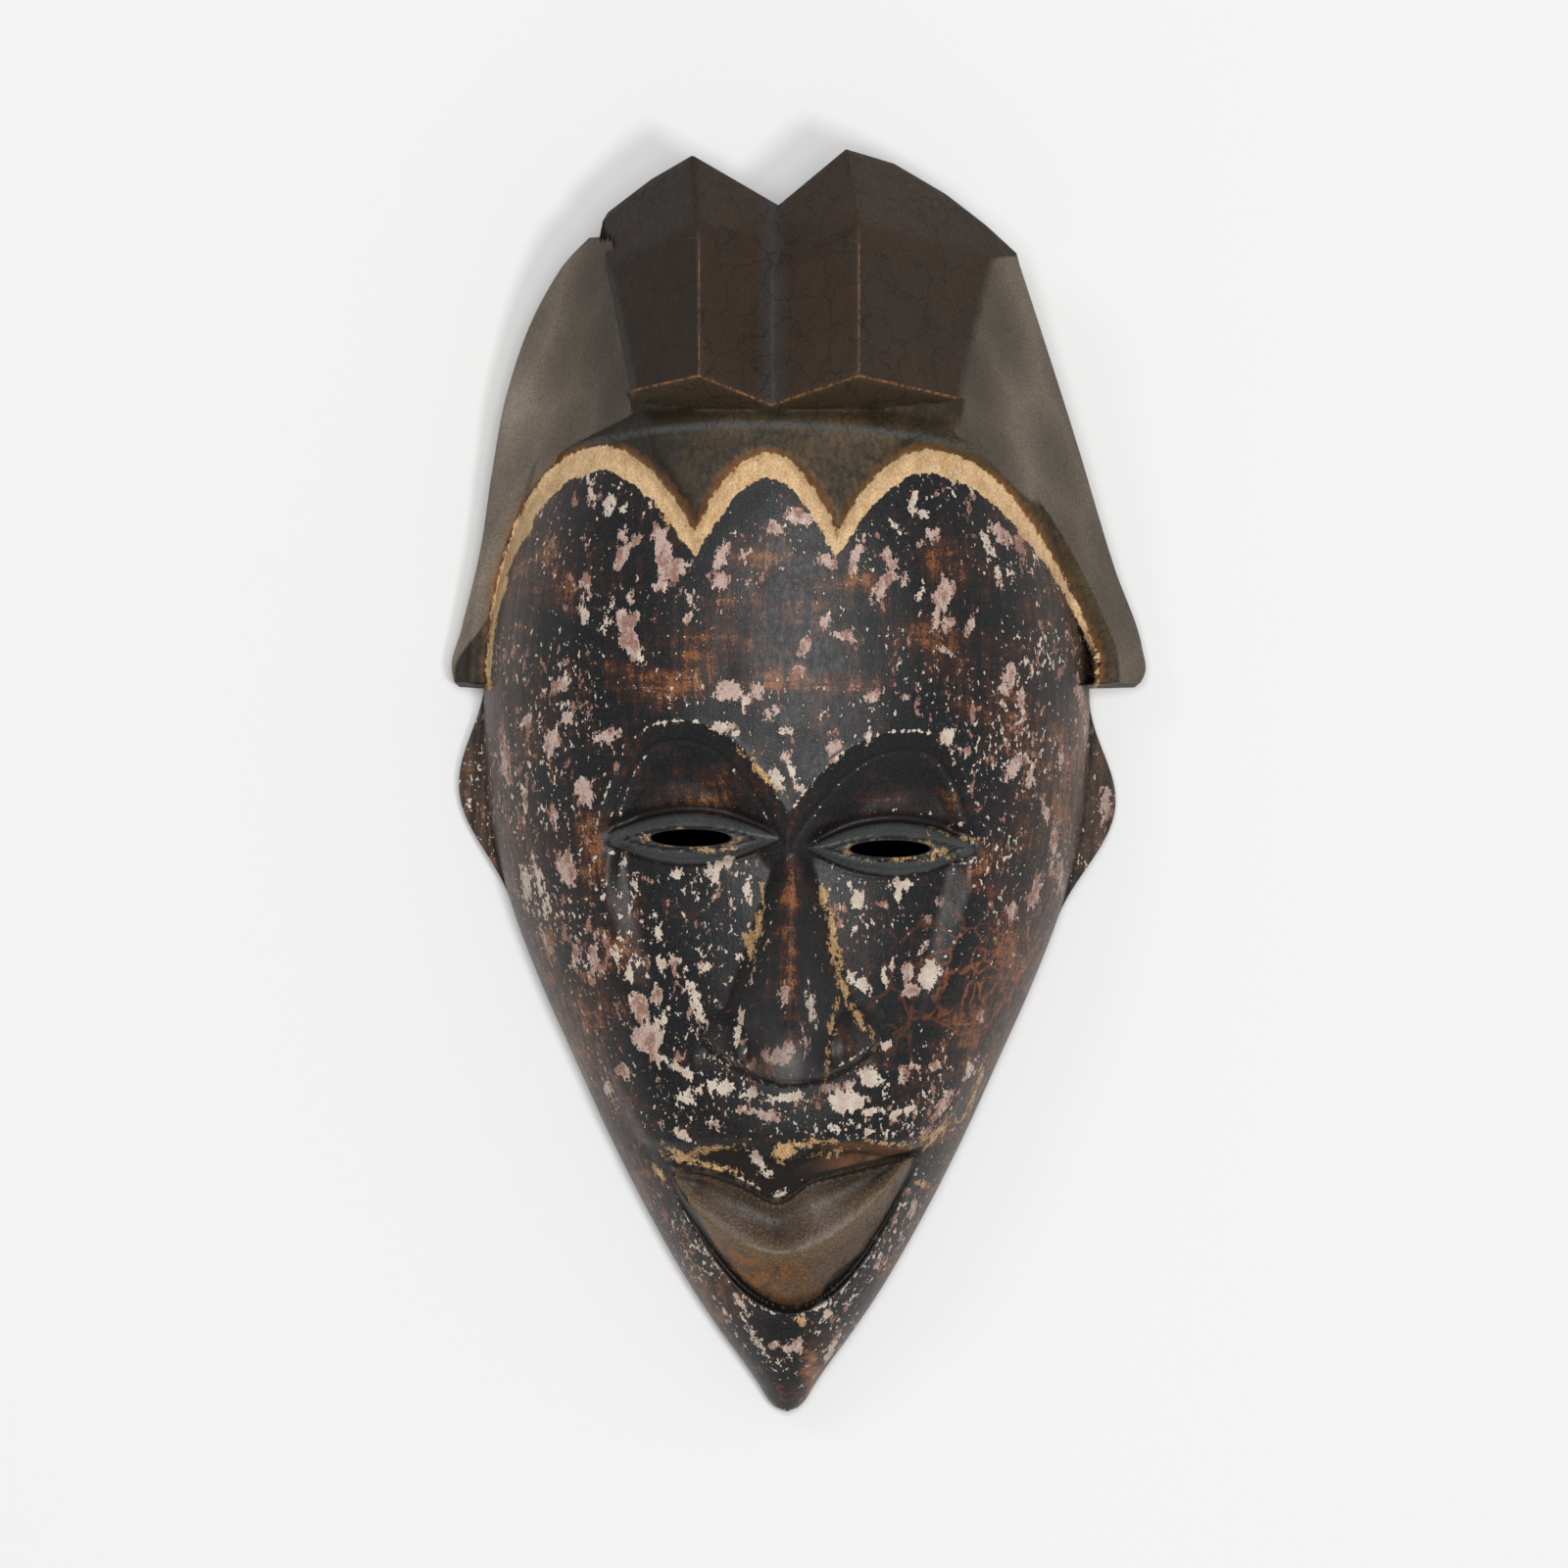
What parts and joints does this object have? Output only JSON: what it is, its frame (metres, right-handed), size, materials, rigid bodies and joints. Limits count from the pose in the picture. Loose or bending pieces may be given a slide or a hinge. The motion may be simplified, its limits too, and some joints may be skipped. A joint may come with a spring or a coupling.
{
  "type": "carved wooden face mask",
  "caption": "Carved hollow wooden face mask with slit eyes, a scooped mouth, a pointed chin and a two-lobed coiffure with side wings.",
  "frame": {"origin": "middle of the mask's bounding box seen from above, on the floor that the rim of its hollow back lies on", "axes": "+X towards the wearer's left ear (the picture's right), +Y from the chin up to the coiffure, +Z out of the face"},
  "size_m": [0.2326, 0.42, 0.1095],
  "materials": {
    "blackened_wood": "worn satin black over red-brown wood"
  },
  "bodies": {
    "root": {"carved_mask": "blackened_wood"}
  },
  "joints": []
}
